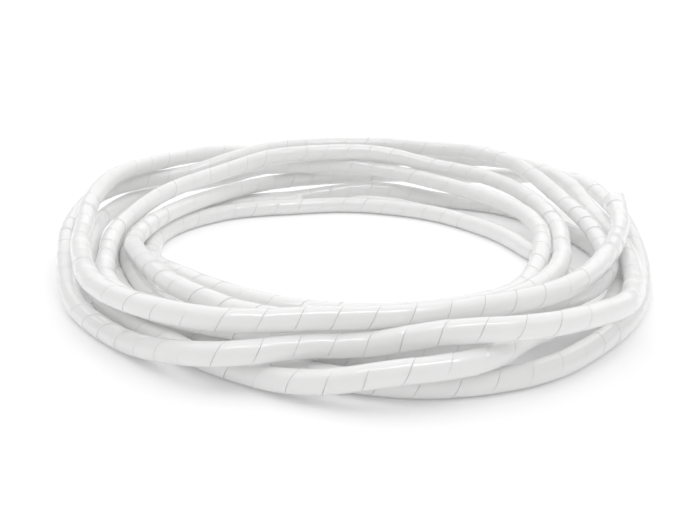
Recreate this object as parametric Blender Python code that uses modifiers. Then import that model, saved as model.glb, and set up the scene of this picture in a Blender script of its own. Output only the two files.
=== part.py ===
"""A 10 m length of spiral cable wrap, wound by hand into a loose coil that lies on the floor.

The whole thing is one tube. Its turns lie beside and over one another and change places as they go
round, so each turn's route is given by the places where it changes. Metres, +Z up. The origin is
on the floor under the middle of the coil.
"""

import math

import bpy
import mathutils
import numpy as np

# The tube. Its sides are flat, and a flat lies on the floor where the tube does.
TUBE_DIAMETER = 0.015
WALL_THICKNESS = 0.0012
TUBE_SIDES = 8

# The winding
WRAP_LENGTH = 10.0
TURN_CLEARANCE = 0.0006
POINTS_PER_TURN = 36
MILLIMETRE = 0.001
FULL_TURN = 360

# The finish: natural polyethylene
NATURAL_WHITE = (0.86, 0.87, 0.88, 1.0)
SURFACE_ROUGHNESS = 0.34

# Each turn runs clockwise seen from above. A place on it is the bearing in degrees from +X, the
# radius in millimetres, and the level: how many tubes would fit under it.

# The upper end, on the right, then along the top of the front
TOP_TURN = (
    (15, 236, 2.35), (2, 219, 2.1), (349, 206, 2), (332, 199, 2), (314, 200, 2), (290, 194, 2), (268, 194, 2),
    (246, 213, 2), (222, 218, 2), (200, 210, 2), (184, 213, 2), (170, 226, 2.4), (158, 238, 2.9),
    (150, 245, 3), (126, 250, 3), (118, 254, 2.75), (108, 254, 2.15), (104, 251, 2), (98, 248, 2),
)
# Outermost round the front and the left, then up to the top of the back
OUTER_TURN = (
    (90, 246, 2), (75, 252, 2), (66, 258, 2.1), (60, 264, 2.25), (52, 270, 2.25), (45, 268, 2.05), (37, 257, 2),
    (28, 240, 1.7), (22, 230, 1.4), (5, 219, 1.05), (348, 217, 1), (332, 223, 1.2), (316, 236, 1.7),
    (303, 238, 2.05), (292, 231, 2.1), (286, 221, 2), (281, 213, 1.7), (270, 201, 1.05), (262, 205, 1.1),
    (254, 221, 1.12), (248, 228, 1), (241, 222, 0.6), (230, 217, 0.1), (222, 216, 0), (205, 220, 0),
    (195, 222, 0.4), (185, 227, 0.9), (175, 237, 1.3), (165, 247, 1.6), (158, 254, 1.85), (150, 254, 2),
    (142, 249, 2), (135, 241, 2), (126, 232, 2.5), (120, 230, 2.8), (113, 236, 3), (106, 244, 3), (98, 247, 3),
)
# Crosses over the others at the back on the right, then goes under them
CROSSING_TURN = (
    (90, 247, 3), (81, 248, 3), (72, 240, 3), (60, 243, 3), (50, 232, 3), (40, 224, 2.55), (30, 214, 2),
    (20, 207, 1.65), (7, 203, 1.3), (357, 201, 1.05), (345, 201, 1), (333, 199, 1), (320, 192, 1), (300, 184, 1),
    (270, 182, 1), (240, 190, 1), (212, 197, 1), (190, 193, 1), (170, 199, 1.3), (150, 199, 2), (130, 200, 2.4),
    (110, 206, 3),
)
# Drops from the top of the back to the eye
INNER_TURN = (
    (90, 211, 3), (80, 213, 2.8), (70, 215, 2.3), (62, 217, 2.05), (52, 213, 1.95), (42, 206, 1.75),
    (28, 194, 1.4), (12, 180, 1.1), (355, 168, 1), (315, 164, 1), (270, 165, 1), (245, 170, 1.2),
    (230, 170, 1.5), (212, 166, 1.5), (197, 168, 1.4), (183, 176, 1.1), (166, 182, 1), (148, 190, 1),
    (130, 201, 1), (110, 220, 1),
)
# Outermost on the right and down to the floor
RIM_TURN = (
    (92, 228, 1), (75, 245, 1), (60, 265, 1), (50, 284, 1.2), (41, 284, 1.6), (35, 277, 1.7), (29, 266, 1.65),
    (22, 253, 1.5), (16, 246, 1.35), (8, 239, 0.85), (0, 233.5, 0.35), (348, 227.5, 0), (330, 225, 0), (315, 226, 0),
    (300, 231, 0), (283, 226, 0), (268, 211, 0), (255, 198, 0), (243, 188, 0), (232, 180, 0), (222, 179, 0),
    (205, 184, 0), (195, 187, 0), (185, 194, 0), (175, 204, 0), (165, 213, 0), (155, 219, 0), (145, 222, 0),
    (130, 221, 0), (120, 213.5, 0), (108, 207, 0),
)
# Lies on the floor, and is lifted over the rim turn at the front
LIFTED_TURN = (
    (96, 210, 0.2), (84, 212, 0.45), (74, 212, 0.25), (64, 211, 0), (56, 216, 0), (46, 220, 0), (30, 214, 0),
    (0, 210, 0), (335, 209, 0), (320, 208, 0.4), (309, 208, 0.8), (300, 214, 1), (288, 232, 1), (277, 235, 1),
    (268, 230, 0.5), (261, 224, 0.2), (257, 218, 0.05), (251, 211, 0), (243, 205, 0), (232, 197, 0),
    (222, 196, 0), (205, 201, 0), (195, 204, 0), (185, 211, 0.4), (175, 219, 0.85), (165, 231, 1), (158, 240, 0.95),
    (150, 250, 0.95), (142, 257, 0.95), (134, 257, 1), (127, 250, 1.1), (120, 236, 1.5), (114, 227, 2),
    (108, 219, 2),
)
# Round the eye, innermost at the front
EYE_TURN = (
    (90, 213, 2), (75, 206, 1.6), (60, 194, 1.35), (45, 183, 1.25), (30, 176, 1.15), (15, 166, 1.05),
    (8, 160.5, 1.05), (0, 154.5, 1.05), (350, 151, 0.9), (340, 148, 0.6), (325, 147, 0.45), (300, 146, 0.7),
    (270, 143, 0.8), (250, 142, 0.9), (230, 142, 1), (215, 145, 1), (200, 153, 0.8), (190, 159, 0.6),
    (183, 163, 0.35), (175, 169, 0.12), (168, 175, 0), (160, 184, 0), (145, 191, 0), (130, 190, 0), (120, 182, 0),
    (108, 174, 0),
)
# Under all the others, with the lower end at the back
BURIED_TURN = (
    (90, 172, 0), (75, 166, 0), (60, 161, 0), (49, 156, 0), (39, 153, 0), (28, 152, 0), (18, 151, 0), (10, 153, 0),
    (0, 160, 0), (350, 169, 0), (338, 176, 0), (320, 179, 0), (270, 180, 0), (251, 176, 0), (243, 171, 0),
    (232, 163, 0), (222, 163, 0), (205, 168, 0), (195, 171, 0), (185, 178.5, 0), (175, 188, 0), (165, 197, 0),
    (155, 203, 0), (145, 206.5, 0), (130, 205.5, 0), (120, 198, 0), (108, 190.5, 0), (80, 190, 0),
)
TURNS = (
    TOP_TURN, OUTER_TURN, CROSSING_TURN, INNER_TURN, RIM_TURN, LIFTED_TURN, EYE_TURN, BURIED_TURN,
)


def clear_scene():
    for old in list(bpy.data.objects):
        bpy.data.objects.remove(old, do_unlink=True)


def collection_named(name):
    collection = bpy.data.collections.new(name)
    bpy.context.scene.collection.children.link(collection)
    return collection


def plastic(name, colour, roughness):
    material = bpy.data.materials.new(name)
    material.use_nodes = True
    shader = material.node_tree.nodes["Principled BSDF"]
    shader.inputs["Base Color"].default_value = colour
    shader.inputs["Roughness"].default_value = roughness
    shader.inputs["Metallic"].default_value = 0.0
    material.diffuse_color = colour
    return material


def eased(at, places, values):
    """Values at every `at`, on a curve through the given places that never overshoots them."""
    steps = np.diff(places)
    slopes = np.diff(values) / steps
    before, after = slopes[:-1], slopes[1:]
    same_way = before * after > 0
    total = np.where(same_way, before + after, 1.0)
    inner = np.where(same_way, 2 * before * after / total, 0.0)
    tangents = np.concatenate([slopes[:1], inner, slopes[-1:]])
    left = np.clip(np.searchsorted(places, at, side="right") - 1, 0, len(steps) - 1)
    width = steps[left]
    share = (at - places[left]) / width
    rise = share * share * (3 - 2 * share)
    return (
        values[left] * (1 - rise)
        + values[left + 1] * rise
        + width * tangents[left] * share * (1 - share) ** 2
        - width * tangents[left + 1] * share**2 * (1 - share)
    )


def places_passed():
    """Degrees travelled, radius and height of the tube's middle at each place, from the upper end on."""
    travelled = []
    radii = []
    heights = []
    last_bearing = FULL_TURN
    gone = 0
    for turn in TURNS:
        for bearing, radius, level in turn:
            gone += (last_bearing - bearing) % FULL_TURN
            last_bearing = bearing
            travelled.append(gone)
            radii.append(radius * MILLIMETRE)
            heights.append(TUBE_DIAMETER / 2 + level * (TUBE_DIAMETER + TURN_CLEARANCE))
    return np.array(travelled, float), np.array(radii), np.array(heights)


def coil_route():
    """Points along the middle of the tube, WRAP_LENGTH long, at the same bearings on every turn."""
    travelled, radii, heights = places_passed()
    at = np.arange(travelled[0], travelled[-1], FULL_TURN / POINTS_PER_TURN)
    radius = eased(at, travelled, radii)
    height = eased(at, travelled, heights)
    turned = np.radians(-at)
    points = np.stack([radius * np.cos(turned), radius * np.sin(turned), height], axis=1)
    gone = np.concatenate([[0], np.cumsum(np.linalg.norm(np.diff(points, axis=0), axis=1))])
    length = min(WRAP_LENGTH, gone[-1])
    end = [np.interp(length, gone, points[:, axis]) for axis in range(3)]
    return np.vstack([points[gone < length], end])


def swept_tube(name, points, collection):
    """A thin open tube along the points, with flats below and at the sides."""
    curve = bpy.data.curves.new(name, "CURVE")
    curve.dimensions = "3D"
    curve.twist_mode = "Z_UP"
    curve.bevel_mode = "ROUND"
    curve.bevel_depth = TUBE_DIAMETER / 2 / math.cos(math.pi / TUBE_SIDES)
    curve.bevel_resolution = TUBE_SIDES // 2 - 2
    curve.use_fill_caps = False
    spline = curve.splines.new("POLY")
    spline.points.add(len(points) - 1)
    for place, point in zip(spline.points, points):
        place.co = (*point, 1.0)
        place.tilt = math.pi / TUBE_SIDES
    guide = bpy.data.objects.new(name, curve)
    collection.objects.link(guide)
    graph = bpy.context.evaluated_depsgraph_get()
    mesh = bpy.data.meshes.new_from_object(guide.evaluated_get(graph))
    bpy.data.objects.remove(guide, do_unlink=True)
    return mesh


def put_origin_under_middle(mesh):
    corners = np.array([vertex.co for vertex in mesh.vertices])
    middle = (corners.min(axis=0) + corners.max(axis=0)) / 2
    mesh.transform(mathutils.Matrix.Translation((-middle[0], -middle[1], 0.0)))


def spiral_wrap(collection, material):
    """The tube, open at both ends, with its wall inside the outer diameter."""
    mesh = swept_tube("spiral_wrap", coil_route(), collection)
    put_origin_under_middle(mesh)
    mesh.shade_smooth()
    mesh.materials.clear()
    mesh.materials.append(material)
    tube = bpy.data.objects.new("spiral_wrap", mesh)
    collection.objects.link(tube)
    wall = tube.modifiers.new("wall", "SOLIDIFY")
    wall.thickness = WALL_THICKNESS
    wall.offset = -1.0
    wall.use_even_offset = True
    return tube


clear_scene()
coil = collection_named("spiral_cable_wrap")
polyethylene = plastic("natural_polyethylene", NATURAL_WHITE, SURFACE_ROUGHNESS)
spiral_wrap(coil, polyethylene)
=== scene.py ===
# %% [markdown]
# # A coil of spiral cable wrap
#
# Spiral wrap is a plastic tube that has been cut along a helix from end to end. It is wound round
# a bundle of cables to hold them together. This is 10 m of it as it is sold: wound by hand into
# a loose coil, with no tie, lying on a table.
#
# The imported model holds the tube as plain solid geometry. This script gives it its cut, its two
# ends and its milky plastic, and sets the camera and the light. All lengths on the coil are
# in metres.

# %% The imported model, as a fixed frame
import math

import bpy
import numpy as np
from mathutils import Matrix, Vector


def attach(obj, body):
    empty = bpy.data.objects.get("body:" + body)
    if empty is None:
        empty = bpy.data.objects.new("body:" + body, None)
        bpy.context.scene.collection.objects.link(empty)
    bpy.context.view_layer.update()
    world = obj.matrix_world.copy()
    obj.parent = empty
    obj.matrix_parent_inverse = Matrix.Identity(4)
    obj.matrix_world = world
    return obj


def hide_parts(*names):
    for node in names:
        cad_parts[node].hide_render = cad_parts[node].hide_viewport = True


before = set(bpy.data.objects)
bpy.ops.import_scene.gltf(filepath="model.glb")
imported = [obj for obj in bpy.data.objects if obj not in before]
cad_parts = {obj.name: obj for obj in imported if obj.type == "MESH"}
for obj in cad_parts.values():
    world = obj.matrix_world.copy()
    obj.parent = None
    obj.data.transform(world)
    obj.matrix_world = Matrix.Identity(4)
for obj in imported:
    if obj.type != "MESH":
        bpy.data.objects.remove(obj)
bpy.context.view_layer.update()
print("nodes:", sorted(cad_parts))

# %% [markdown]
# ## The route of the tube
#
# A loose coil isn't a spring. Each turn finds its own lane: it lies beside one neighbour, climbs
# over another and drops back to the floor. So the route is a list of places, and each has
# a bearing in degrees, a radius, and a level, which is how many tubes would fit under it. These are
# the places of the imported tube, one list for each turn, clockwise seen from above.

# %% Sizes of the tube, and the places that it passes
TUBE_DIAMETER = 0.015
WALL_THICKNESS = 0.0012
WRAP_LENGTH = 10.0
TURN_CLEARANCE = 0.0006
FULL_TURN = 360

TOP_TURN = (
    (15, .236, 2.35), (2, .219, 2.1), (349, .206, 2), (332, .199, 2), (314, .2, 2), (290, .194, 2),
    (268, .194, 2), (246, .213, 2), (222, .218, 2), (200, .21, 2), (184, .213, 2), (170, .226, 2.4),
    (158, .238, 2.9), (150, .245, 3), (126, .25, 3), (118, .254, 2.75), (108, .254, 2.15),
    (104, .251, 2), (98, .248, 2),
)
OUTER_TURN = (
    (90, .246, 2), (75, .252, 2), (66, .258, 2.1), (60, .264, 2.25), (52, .27, 2.25),
    (45, .268, 2.05), (37, .257, 2), (28, .24, 1.7), (22, .23, 1.4), (5, .219, 1.05),
    (348, .217, 1), (332, .223, 1.2), (316, .236, 1.7), (303, .238, 2.05), (292, .231, 2.1),
    (286, .221, 2), (281, .213, 1.7), (270, .201, 1.05), (262, .205, 1.1), (254, .221, 1.12),
    (248, .228, 1), (241, .222, .6), (230, .217, .1), (222, .216, 0), (205, .22, 0),
    (195, .222, .4), (185, .227, .9), (175, .237, 1.3), (165, .247, 1.6), (158, .254, 1.85),
    (150, .254, 2), (142, .249, 2), (135, .241, 2), (126, .232, 2.5), (120, .23, 2.8),
    (113, .236, 3), (106, .244, 3), (98, .247, 3),
)
CROSSING_TURN = (
    (90, .247, 3), (81, .248, 3), (72, .24, 3), (60, .243, 3), (50, .232, 3), (40, .224, 2.55),
    (30, .214, 2), (20, .207, 1.65), (7, .203, 1.3), (357, .201, 1.05), (345, .201, 1),
    (333, .199, 1), (320, .192, 1), (300, .184, 1), (270, .182, 1), (240, .19, 1), (212, .197, 1),
    (190, .193, 1), (170, .199, 1.3), (150, .199, 2), (130, .2, 2.4), (110, .206, 3),
)
INNER_TURN = (
    (90, .211, 3), (80, .213, 2.8), (70, .215, 2.3), (62, .217, 2.05), (52, .213, 1.95),
    (42, .206, 1.75), (28, .194, 1.4), (12, .18, 1.1), (355, .168, 1), (315, .164, 1),
    (270, .165, 1), (245, .17, 1.2), (230, .17, 1.5), (212, .166, 1.5), (197, .168, 1.4),
    (183, .176, 1.1), (166, .182, 1), (148, .19, 1), (130, .201, 1), (110, .22, 1),
)
RIM_TURN = (
    (92, .228, 1), (75, .245, 1), (60, .265, 1), (50, .284, 1.2), (41, .284, 1.6), (35, .277, 1.7),
    (29, .266, 1.65), (22, .253, 1.5), (16, .246, 1.35), (8, .239, .85), (0, .2335, .35),
    (348, .2275, 0), (330, .225, 0), (315, .226, 0), (300, .231, 0), (283, .226, 0), (268, .211, 0),
    (255, .198, 0), (243, .188, 0), (232, .18, 0), (222, .179, 0), (205, .184, 0), (195, .187, 0),
    (185, .194, 0), (175, .204, 0), (165, .213, 0), (155, .219, 0), (145, .222, 0), (130, .221, 0),
    (120, .2135, 0), (108, .207, 0),
)
LIFTED_TURN = (
    (96, .21, .2), (84, .212, .45), (74, .212, .25), (64, .211, 0), (56, .216, 0), (46, .22, 0),
    (30, .214, 0), (0, .21, 0), (335, .209, 0), (320, .208, .4), (309, .208, .8), (300, .214, 1),
    (288, .232, 1), (277, .235, 1), (268, .23, .5), (261, .224, .2), (257, .218, .05),
    (251, .211, 0), (243, .205, 0), (232, .197, 0), (222, .196, 0), (205, .201, 0), (195, .204, 0),
    (185, .211, .4), (175, .219, .85), (165, .231, 1), (158, .24, .95), (150, .25, .95),
    (142, .257, .95), (134, .257, 1), (127, .25, 1.1), (120, .236, 1.5), (114, .227, 2),
    (108, .219, 2),
)
EYE_TURN = (
    (90, .213, 2), (75, .206, 1.6), (60, .194, 1.35), (45, .183, 1.25), (30, .176, 1.15),
    (15, .166, 1.05), (8, .1605, 1.05), (0, .1545, 1.05), (350, .151, .9), (340, .148, .6),
    (325, .147, .45), (300, .146, .7), (270, .143, .8), (250, .142, .9), (230, .142, 1),
    (215, .145, 1), (200, .153, .8), (190, .159, .6), (183, .163, .35), (175, .169, .12),
    (168, .175, 0), (160, .184, 0), (145, .191, 0), (130, .19, 0), (120, .182, 0), (108, .174, 0),
)
BURIED_TURN = (
    (90, .172, 0), (75, .166, 0), (60, .161, 0), (49, .156, 0), (39, .153, 0), (28, .152, 0),
    (18, .151, 0), (10, .153, 0), (0, .16, 0), (350, .169, 0), (338, .176, 0), (320, .179, 0),
    (270, .18, 0), (251, .176, 0), (243, .171, 0), (232, .163, 0), (222, .163, 0), (205, .168, 0),
    (195, .171, 0), (185, .1785, 0), (175, .188, 0), (165, .197, 0), (155, .203, 0),
    (145, .2065, 0), (130, .2055, 0), (120, .198, 0), (108, .1905, 0), (80, .19, 0),
)
TURNS = (
    TOP_TURN, OUTER_TURN, CROSSING_TURN, INNER_TURN, RIM_TURN, LIFTED_TURN, EYE_TURN, BURIED_TURN,
)
print("turns:", len(TURNS), "places:", sum(len(turn) for turn in TURNS))

# %% [markdown]
# ## One smooth line through the places
#
# Between two places the radius and the height change gradually, and never beyond either of the two,
# so the tube can't swing into a neighbour. A curve drawn by hand would be another way, but its
# handles can overshoot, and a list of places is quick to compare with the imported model. A stiff
# plastic tube also has no sharp corners, so the line is then averaged a few times with its own
# neighbours.

# %% The middle line
LINE_POINTS_PER_TURN = 240
SMOOTHING_ROUNDS = 6


def eased(at, places, values):
    """Values at every `at`, on a curve through the places that never overshoots them."""
    steps = np.diff(places)
    slopes = np.diff(values) / steps
    before, after = slopes[:-1], slopes[1:]
    same_way = before * after > 0
    total = np.where(same_way, before + after, 1.0)
    inner = np.where(same_way, 2 * before * after / total, 0.0)
    tangents = np.concatenate([slopes[:1], inner, slopes[-1:]])
    left = np.clip(np.searchsorted(places, at, side="right") - 1, 0, len(steps) - 1)
    width = steps[left]
    share = (at - places[left]) / width
    rise = share * share * (3 - 2 * share)
    return (
        values[left] * (1 - rise)
        + values[left + 1] * rise
        + width * tangents[left] * share * (1 - share) ** 2
        - width * tangents[left + 1] * share**2 * (1 - share)
    )


def places_passed():
    """Degrees travelled, radius and height of the tube's middle at each place."""
    travelled, radii, heights = [], [], []
    last_bearing = FULL_TURN
    gone = 0
    for turn in TURNS:
        for bearing, radius, level in turn:
            gone += (last_bearing - bearing) % FULL_TURN
            last_bearing = bearing
            travelled.append(gone)
            radii.append(radius)
            heights.append(TUBE_DIAMETER / 2 + level * (TUBE_DIAMETER + TURN_CLEARANCE))
    return np.array(travelled, float), np.array(radii), np.array(heights)


def averaged(values):
    for _ in range(SMOOTHING_ROUNDS):
        values[1:-1] = (values[:-2] + 2 * values[1:-1] + values[2:]) / 4
    return values


def middle_line():
    """Points along the tube's middle from its upper end, with the coil centred over the origin."""
    travelled, radii, heights = places_passed()
    at = np.arange(travelled[0], travelled[-1], FULL_TURN / LINE_POINTS_PER_TURN)
    radius = averaged(eased(at, travelled, radii))
    height = averaged(eased(at, travelled, heights))
    turned = np.radians(-at)
    points = np.stack([radius * np.cos(turned), radius * np.sin(turned), height], axis=1)
    middle = (points.min(axis=0) + points.max(axis=0)) / 2
    points[:, :2] -= middle[:2]
    return points, middle


def distances_along(points):
    return np.concatenate([[0], np.cumsum(np.linalg.norm(np.diff(points, axis=0), axis=1))])


line, coil_middle = middle_line()
along = distances_along(line)
print("route:", round(float(along[-1]), 3), "m, of which", WRAP_LENGTH, "m is used")

# %% [markdown]
# ## The camera
#
# The coil was photographed from close by and from a little above: the tube looks half as wide again
# at the front as at the back. A camera 0.7 m away and 18 degrees up gives the same widths. The
# small shift puts the coil where it is in the photograph.

# %% The camera
CAMERA_DISTANCE = 0.7
CAMERA_ELEVATION = math.radians(18.19)
AIM_HEIGHT = 0.02
FRAME_WIDTH = 700
FRAME_HEIGHT = 530
FOCAL_PIXELS = 857.8
AIM_PIXEL = (352, 246.1)
SENSOR_WIDTH = 36
NEAREST_SEEN = 0.01


def add_camera(aim):
    """A camera on the coil's near side that looks at the aim."""
    away = Vector((0, -math.cos(CAMERA_ELEVATION), math.sin(CAMERA_ELEVATION)))
    bpy.ops.object.camera_add(
        location=aim + CAMERA_DISTANCE * away,
        rotation=(math.pi / 2 - CAMERA_ELEVATION, 0, 0),
    )
    camera = bpy.context.object
    camera.name = "camera"
    camera.data.sensor_width = SENSOR_WIDTH
    camera.data.lens = SENSOR_WIDTH * FOCAL_PIXELS / FRAME_WIDTH
    camera.data.shift_x = (FRAME_WIDTH / 2 - AIM_PIXEL[0]) / FRAME_WIDTH
    camera.data.shift_y = (AIM_PIXEL[1] - FRAME_HEIGHT / 2) / FRAME_WIDTH
    camera.data.clip_start = NEAREST_SEEN
    return camera


aim = Vector((-coil_middle[0], -coil_middle[1], AIM_HEIGHT))
bpy.context.scene.camera = add_camera(aim)
print("lens:", round(bpy.context.scene.camera.data.lens, 1), "mm")

# %% [markdown]
# ## The cut tube
#
# The wrap starts as a plain tube. A blade then cuts it along a helix while it turns, which leaves
# one long band, about 22 mm wide, with a slit between its turns. Here the band is made as what
# it is: rows of points that run along the tube, each row a step further round. A boolean would be
# another way, but it would need a thin cutter with 451 turns, and it would leave no lips.
# Both ends are sawn square, so the band would start and stop in a point; the thin last bit of
# that point is left off.
#
# A slit isn't the same all round. A coiled tube is stretched on its outer side, and it is the slit
# that gives there, so it is wider on that side and nearly shut on the inner one. Along each edge
# of the band the blade leaves a slightly rounded lip, and the tube is never quite even, so one edge
# curls up a hair while the one across the slit dips. That catches the light.
#
# At the upper end the last turn of the band has been pulled open by the fingers that held it. Its
# slit gapes, and one looks through it into the tube.

# %% The band
CUT_PITCH = 0.0222
CUT_WIDTH = 0.00035
NARROWEST_CUT = 0.4
BEND_OPENING = 0.0002
ROWS_PER_TURN = 16
NARROWEST_TIP = 0.004
LIP_WIDTH = 0.0008
NARROWEST_BAND = 4 * LIP_WIDTH
LIP_DROP = 0.0001
LIP_CURL = 0.0004
EDGE_UNEVENNESS = 0.0005
BAND_SEED = 7
OPENED_LENGTH = 0.05
END_OPENING = 0.010
END_FLARE = 0.0025
CRISP_EDGE_ANGLE = math.radians(50)


def at_distance(distance, values):
    return np.stack([np.interp(distance, along, values[:, axis]) for axis in range(3)], axis=-1)


def line_frames(points):
    """For each point of the middle line, the way to its right and the way up from it."""
    ahead = np.gradient(points, axis=0)
    ahead /= np.linalg.norm(ahead, axis=1)[:, None]
    right = np.cross(ahead, (0.0, 0.0, 1.0))
    right /= np.linalg.norm(right, axis=1)[:, None]
    return right, np.cross(right, ahead)


def band_shares(width):
    """How far across the band each point of a row is: both lips, and two points between them."""
    lip = LIP_WIDTH / width
    edge, third = np.zeros_like(lip), np.full_like(lip, 1 / 3)
    return np.stack([edge, lip, third, 2 * third, 1 - lip, 1 - edge], axis=1)


def pulled_open(distance):
    """Extra width of the slit near the upper end, at this distance from it."""
    return END_OPENING * np.clip(1 - distance / OPENED_LENGTH, 0, 1) ** 2


def band_rows():
    """Distance along the tube, angle round it and height of its skin, for each point of a row."""
    first_row = -ROWS_PER_TURN
    last_row = int(WRAP_LENGTH / CUT_PITCH * ROWS_PER_TURN)
    turns = np.arange(first_row, last_row + 1) / ROWS_PER_TURN
    random = np.random.default_rng(BAND_SEED)
    knots = np.arange(-1, int(turns[-1]) + 3)
    opened = random.uniform(NARROWEST_CUT, 1, len(knots))
    unevenness = random.uniform(-1, 1, len(knots)) * EDGE_UNEVENNESS
    curl = random.uniform(-1, 1, len(knots)) * LIP_CURL
    outer_side = np.maximum(-np.cos(2 * math.pi * turns), 0)
    start = turns * CUT_PITCH
    stop = start + CUT_PITCH
    slit_before = CUT_WIDTH * np.interp(turns, knots, opened) + BEND_OPENING * outer_side
    slit_after = CUT_WIDTH * np.interp(turns + 1, knots, opened) + BEND_OPENING * outer_side
    start = np.clip(start + (slit_before + pulled_open(start)) / 2, 0, WRAP_LENGTH)
    stop = np.clip(stop - (slit_after + pulled_open(stop)) / 2, 0, WRAP_LENGTH)
    wide_enough = stop - start > NARROWEST_TIP
    turns, start, stop = turns[wide_enough], start[wide_enough], stop[wide_enough]
    width = stop - start
    shares = band_shares(np.maximum(width, NARROWEST_BAND))
    distance = start[:, None] + width[:, None] * shares
    angle = np.broadcast_to(2 * math.pi * turns[:, None], distance.shape)
    lift = np.interp(turns, knots, unevenness)
    height = lift[:, None] * (2 * shares - 1) / 2
    height[:, 0] += np.interp(turns, knots, curl) - LIP_DROP
    height[:, -1] -= np.interp(turns + 1, knots, curl) + LIP_DROP
    return distance, angle, height + END_FLARE * pulled_open(distance) / END_OPENING


def add_spiral_band():
    """The band's outer skin; an attribute keeps each point's place on the straight tube."""
    distance, angle, height = band_rows()
    right, up = line_frames(line)
    centre = at_distance(distance, line)
    outward = (
        np.cos(angle)[..., None] * at_distance(distance, right)
        + np.sin(angle)[..., None] * at_distance(distance, up)
    )
    surface = centre + outward * (TUBE_DIAMETER / 2 + height)[..., None]
    surface[..., 2] = np.maximum(surface[..., 2], 0)
    rows, across = distance.shape
    corner = np.arange(rows * across).reshape(rows, across)
    faces = np.stack([corner[:-1, :-1], corner[:-1, 1:], corner[1:, 1:], corner[1:, :-1]], axis=-1)
    mesh = bpy.data.meshes.new("spiral_band")
    mesh.from_pydata(surface.reshape(-1, 3).tolist(), [], faces.reshape(-1, 4).tolist())
    straight = np.stack(
        [np.cos(angle) * TUBE_DIAMETER / 2, np.sin(angle) * TUBE_DIAMETER / 2, distance], axis=-1
    )
    place = mesh.attributes.new("place_on_tube", "FLOAT_VECTOR", "POINT")
    place.data.foreach_set("vector", straight.ravel())
    band = bpy.data.objects.new("spiral_band", mesh)
    bpy.context.scene.collection.objects.link(band)
    return band


def select_only(thing):
    bpy.ops.object.select_all(action="DESELECT")
    thing.select_set(True)
    bpy.context.view_layer.objects.active = thing


def add_wall(band):
    """Gives the skin its wall, inwards, and smooth shading with crisp cut edges."""
    select_only(band)
    bpy.ops.object.mode_set(mode="EDIT")
    bpy.ops.mesh.select_all(action="SELECT")
    bpy.ops.mesh.normals_make_consistent(inside=False)
    bpy.ops.object.mode_set(mode="OBJECT")
    bpy.ops.object.modifier_add(type="SOLIDIFY")
    band.modifiers[-1].thickness = WALL_THICKNESS
    band.modifiers[-1].offset = -1
    bpy.ops.object.modifier_apply(modifier=band.modifiers[-1].name)
    bpy.ops.object.shade_smooth_by_angle(angle=CRISP_EDGE_ANGLE)


spiral_band = add_spiral_band()
print("band faces:", len(spiral_band.data.polygons))
add_wall(spiral_band)
triangles = sum(len(face.vertices) - 2 for face in spiral_band.data.polygons)
print("with its wall:", triangles, "triangles")

# %% [markdown]
# ## Natural polyethylene
#
# The wrap is extruded low-density polyethylene with no pigment. It is milky rather than clear,
# because the light scatters inside it within a millimetre or two, so its shadows are soft and pale.
# A plain white shader would be simpler, but the gaps between the tubes would be hard and dark. Some
# of the light gets through unscattered, which is the clear share. The skin is satin: the lights
# show as long, soft streaks.
#
# The die leaves faint lines along the tube. The real ones are too fine to show from here, so they
# are drawn about 1 mm apart. The haze, a slight change of white and of gloss, is about as coarse
# as the tube is thick.

# %% Colours and a node helper


def linear(colour):
    """A hex colour as Blender's linear red, green, blue and alpha."""
    parts = [int(colour[place : place + 2], 16) / 255 for place in (1, 3, 5)]
    bent = [
        part / 12.92 if part <= 0.04045 else ((part + 0.055) / 1.055) ** 2.4
        for part in parts
    ]
    return bent + [1.0]


def add_node(material, kind, settings=None, inputs=None):
    """Adds a node, sets what it is given and links the inputs that are sockets."""
    tree = material.node_tree
    node = tree.nodes.new(kind)
    for name, value in (settings or {}).items():
        setattr(node, name, value)
    for name, value in (inputs or {}).items():
        if isinstance(value, bpy.types.NodeSocket):
            tree.links.new(value, node.inputs[name])
        else:
            node.inputs[name].default_value = value
    return node


def new_material(name, settings):
    """A material with its Principled shader's own sockets set."""
    material = bpy.data.materials.new(name)
    material.use_nodes = True
    shader = material.node_tree.nodes["Principled BSDF"]
    for socket, value in settings.items():
        shader.inputs[socket].default_value = value
    return material, shader


print("middle grey in linear light:", round(linear("#808080")[0], 3))

# %% The milky plastic
POLYETHYLENE_IOR = 1.51
SCATTER_DISTANCE = 0.0014
CLEAR_SHARE = 0.3
DIE_LINE_SPACING = 0.0011
DIE_LINE_SQUEEZE = (1, 1, 0.03)
DIE_LINE_STRENGTH = 0.15
DIE_LINE_DEPTH = 0.0003
HAZE_SIZE = 0.012
CLOUDIER_TINT = "#ECECEB"
WHITER_TINT = "#F5F5F4"
GLOSSIEST = 0.08
DULLEST = 0.2


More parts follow.
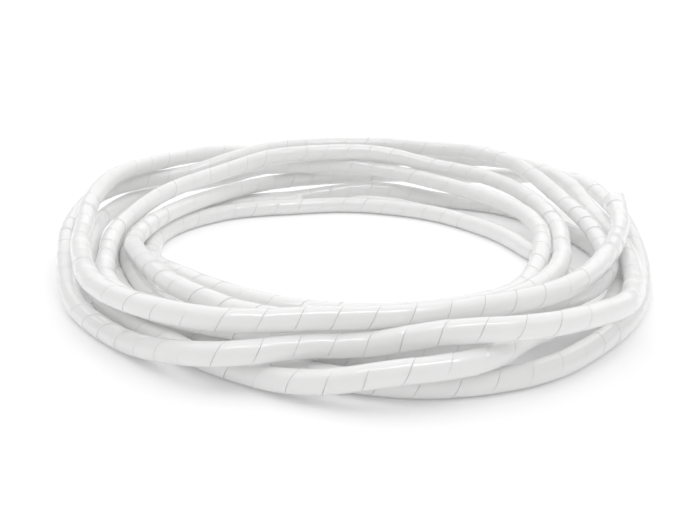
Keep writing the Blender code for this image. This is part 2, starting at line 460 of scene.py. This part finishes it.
def natural_polyethylene():
    material, shader = new_material(
        "extruded_natural_polyethylene",
        {
            "IOR": POLYETHYLENE_IOR,
            "Transmission Weight": CLEAR_SHARE,
            "Subsurface Weight": 1.0,
            "Subsurface Radius": (1.0, 1.0, 1.0),
            "Subsurface Scale": SCATTER_DISTANCE,
        },
    )
    place = add_node(material, "ShaderNodeAttribute", {"attribute_name": "place_on_tube"})
    lengthwise = add_node(
        material,
        "ShaderNodeMapping",
        inputs={"Vector": place.outputs["Vector"], "Scale": DIE_LINE_SQUEEZE},
    )
    die_lines = add_node(
        material,
        "ShaderNodeTexNoise",
        inputs={
            "Vector": lengthwise.outputs["Vector"],
            "Scale": 1 / DIE_LINE_SPACING,
            "Detail": 2.0,
        },
    )
    haze = add_node(
        material,
        "ShaderNodeTexNoise",
        inputs={"Vector": place.outputs["Vector"], "Scale": 1 / HAZE_SIZE, "Detail": 3.0},
    )
    tint = add_node(
        material,
        "ShaderNodeMix",
        {"data_type": "RGBA"},
        {"Factor": haze.outputs["Fac"], "A": linear(CLOUDIER_TINT), "B": linear(WHITER_TINT)},
    )
    satin = add_node(
        material,
        "ShaderNodeMapRange",
        inputs={"Value": haze.outputs["Fac"], "To Min": GLOSSIEST, "To Max": DULLEST},
    )
    relief = add_node(
        material,
        "ShaderNodeBump",
        inputs={
            "Height": die_lines.outputs["Fac"],
            "Strength": DIE_LINE_STRENGTH,
            "Distance": DIE_LINE_DEPTH,
        },
    )
    links = material.node_tree.links
    links.new(tint.outputs["Result"], shader.inputs["Base Color"])
    links.new(satin.outputs["Result"], shader.inputs["Roughness"])
    links.new(relief.outputs["Normal"], shader.inputs["Normal"])
    return material


spiral_band.data.materials.append(natural_polyethylene())
print("finish:", spiral_band.data.materials[0].name)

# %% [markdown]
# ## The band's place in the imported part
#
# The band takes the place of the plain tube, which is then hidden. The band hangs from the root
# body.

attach(spiral_band, "root")
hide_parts("spiral_wrap")

# %% [markdown]
# ## The table and the light
#
# The coil was photographed on white, and the light comes from above and from behind: the tops of
# the tubes are as bright as the table, their near sides are pale grey, and a soft shadow lies along
# the coil on the viewer's side. A white surround fills that shadow, and a very broad light from
# behind makes it. A strip lamp above the near side is there for its reflection: it draws the thin
# bright streaks along the tubes, and is hidden from the rays that would brighten everything else.
#
# The photograph is also printed very pale, with even its darkest greys lifted, so the view has
# a gamma of its own.

# %% The table and the light
TABLE_SIZE = 24.0
TABLE_ROUGHNESS = 0.9
SURROUND_STRENGTH = 0.45
BROAD_LIGHT_DIRECTION = (0.1, 0.45, 1.0)
BROAD_LIGHT_STRENGTH = 2.6
BROAD_LIGHT_ANGLE = math.radians(100)
STRIP_PLACE = (0, -0.4, 1.25)
STRIP_SIZE = (1.0, 0.12)
STRIP_POWER = 10.0
PRINT_GAMMA = 2.25


def add_table():
    bpy.ops.mesh.primitive_plane_add(size=TABLE_SIZE)
    table = bpy.context.object
    table.name = "table"
    material, _ = new_material(
        "matt_white_laminate",
        {
            "Base Color": linear("#FFFFFF"),
            "Roughness": TABLE_ROUGHNESS,
            "Specular IOR Level": 0.0,
        },
    )
    table.data.materials.append(material)


def add_strip_lamp():
    """A long narrow lamp that faces the coil, and shows in it only as a reflection."""
    bpy.ops.object.light_add(type="AREA", location=STRIP_PLACE)
    lamp = bpy.context.object
    lamp.name = "strip_lamp"
    lamp.data.shape = "RECTANGLE"
    lamp.data.size = STRIP_SIZE[0]
    lamp.data.size_y = STRIP_SIZE[1]
    lamp.data.energy = STRIP_POWER
    lamp.rotation_euler = (-Vector(STRIP_PLACE)).to_track_quat("-Z", "Y").to_euler()
    lamp.visible_diffuse = False


def add_broad_light():
    """A very soft light from behind and above, as bright far away as it is near."""
    facing = Vector(BROAD_LIGHT_DIRECTION).to_track_quat("Z", "Y")
    bpy.ops.object.light_add(type="SUN", rotation=facing.to_euler())
    light = bpy.context.object
    light.name = "light_from_behind"
    light.data.energy = BROAD_LIGHT_STRENGTH
    light.data.angle = BROAD_LIGHT_ANGLE


def add_surround():
    world = bpy.data.worlds.new("white_surround")
    world.use_nodes = True
    background = world.node_tree.nodes["Background"]
    background.inputs["Color"].default_value = (1.0, 1.0, 1.0, 1.0)
    background.inputs["Strength"].default_value = SURROUND_STRENGTH
    bpy.context.scene.world = world


add_table()
add_surround()
add_broad_light()
add_strip_lamp()
bpy.context.scene.view_settings.view_transform = "Standard"
bpy.context.scene.view_settings.gamma = PRINT_GAMMA
